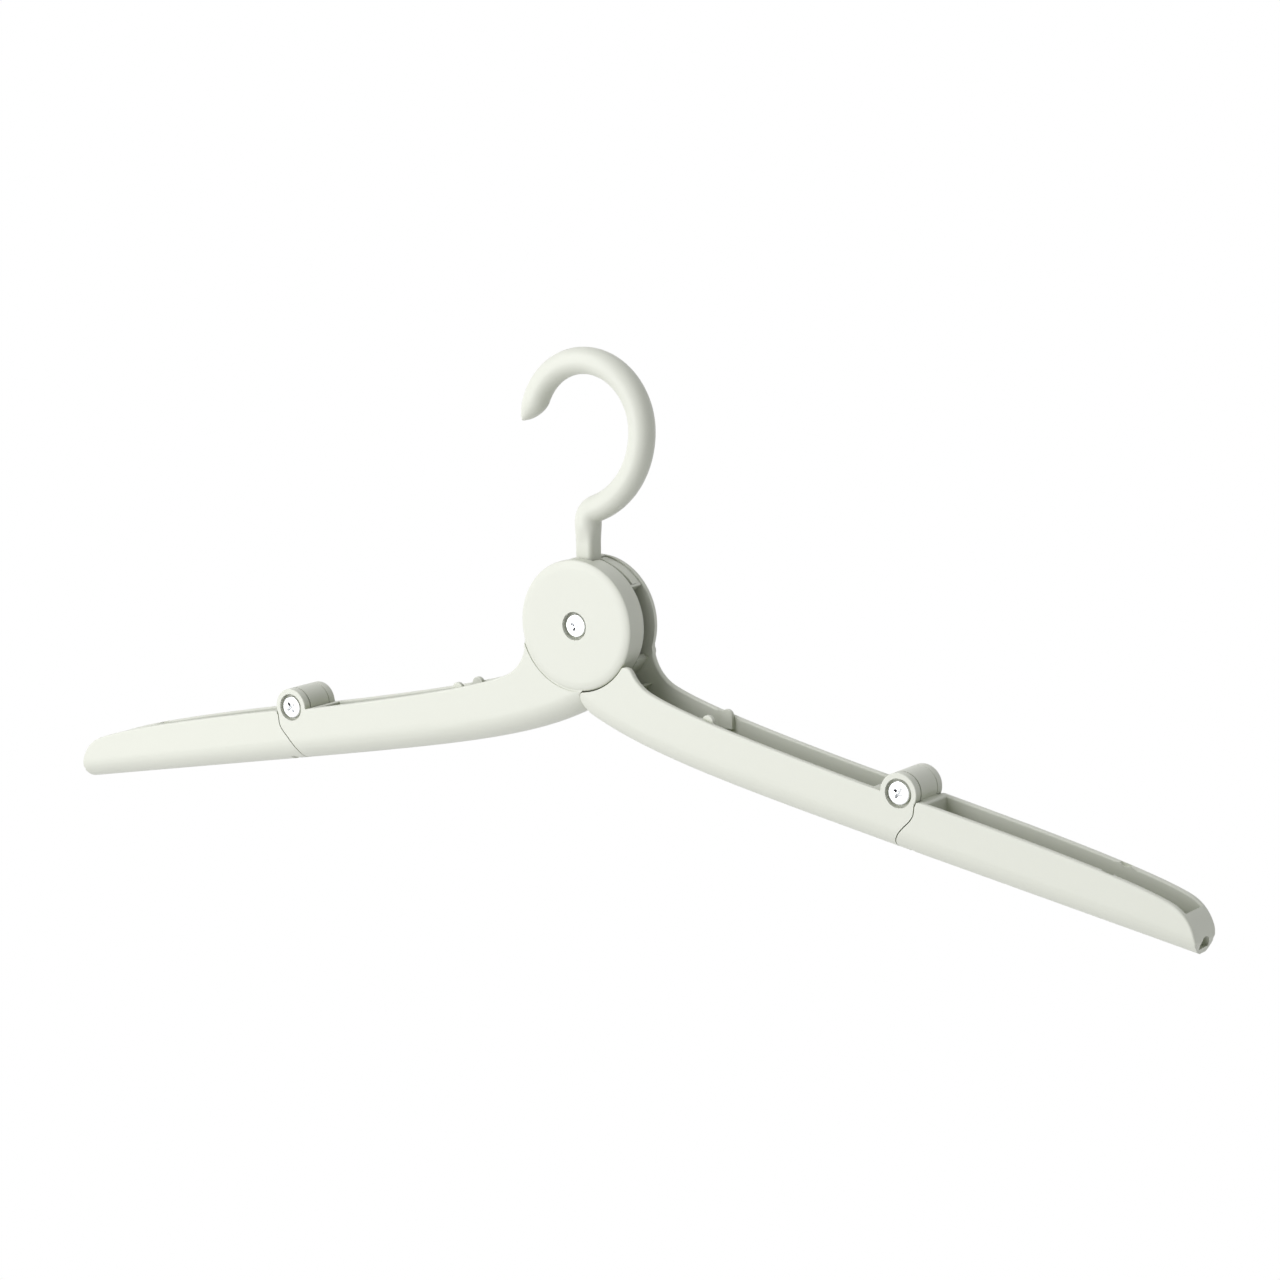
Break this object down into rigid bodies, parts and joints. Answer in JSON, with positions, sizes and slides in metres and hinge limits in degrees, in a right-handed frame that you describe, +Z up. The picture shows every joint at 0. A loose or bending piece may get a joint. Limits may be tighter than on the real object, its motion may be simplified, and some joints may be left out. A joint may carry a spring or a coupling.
{
  "type": "folding travel hanger",
  "caption": "Folding clothes hanger: round-rod hook on a screwed hub, curved channel arms that fold up, and outer arms that fold over onto them.",
  "frame": {"origin": "crown of the hook's bight, the point that rests on a rail", "axes": "+Z up, +X to the right seen from the front, the front towards -Y; the hub and hinge axes run along Y"},
  "size_m": [0.378, 0.0148, 0.1432],
  "materials": {
    "plastic": "pale sage-white satin moulded plastic",
    "nylon": "natural nylon washer",
    "chrome": "bright plated fastener"
  },
  "bodies": {
    "hook": {"hook": "plastic", "hub_screw": "chrome", "hub_sleeve_nut": "chrome", "right_hub_washer": "nylon", "left_hub_washer": "nylon"},
    "right_inner": {"right_inner_arm": "plastic", "right_hinge_screw": "chrome", "right_hinge_sleeve_nut": "chrome"},
    "left_inner": {"left_inner_arm": "plastic", "left_hinge_screw": "chrome", "left_hinge_sleeve_nut": "chrome"},
    "right_outer": {"right_outer_arm": "plastic"},
    "left_outer": {"left_outer_arm": "plastic"}
  },
  "joints": [
    {"name": "right_inner_fold", "type": "hinge", "parent": "hook", "child": "right_inner", "pos_m": [0, 0, -0.0692], "axis": [0, -1, 0], "range_deg": [0, 66]},
    {"name": "left_inner_fold", "type": "hinge", "parent": "hook", "child": "left_inner", "pos_m": [0, 0, -0.0692], "axis": [0, 1, 0], "range_deg": [0, 66]},
    {"name": "right_outer_fold", "type": "hinge", "parent": "right_inner", "child": "right_outer", "pos_m": [0.1034, 0, -0.1037], "axis": [0, -1, 0], "range_deg": [0, 180]},
    {"name": "left_outer_fold", "type": "hinge", "parent": "left_inner", "child": "left_outer", "pos_m": [-0.1034, 0, -0.1037], "axis": [0, 1, 0], "range_deg": [0, 180]}
  ]
}
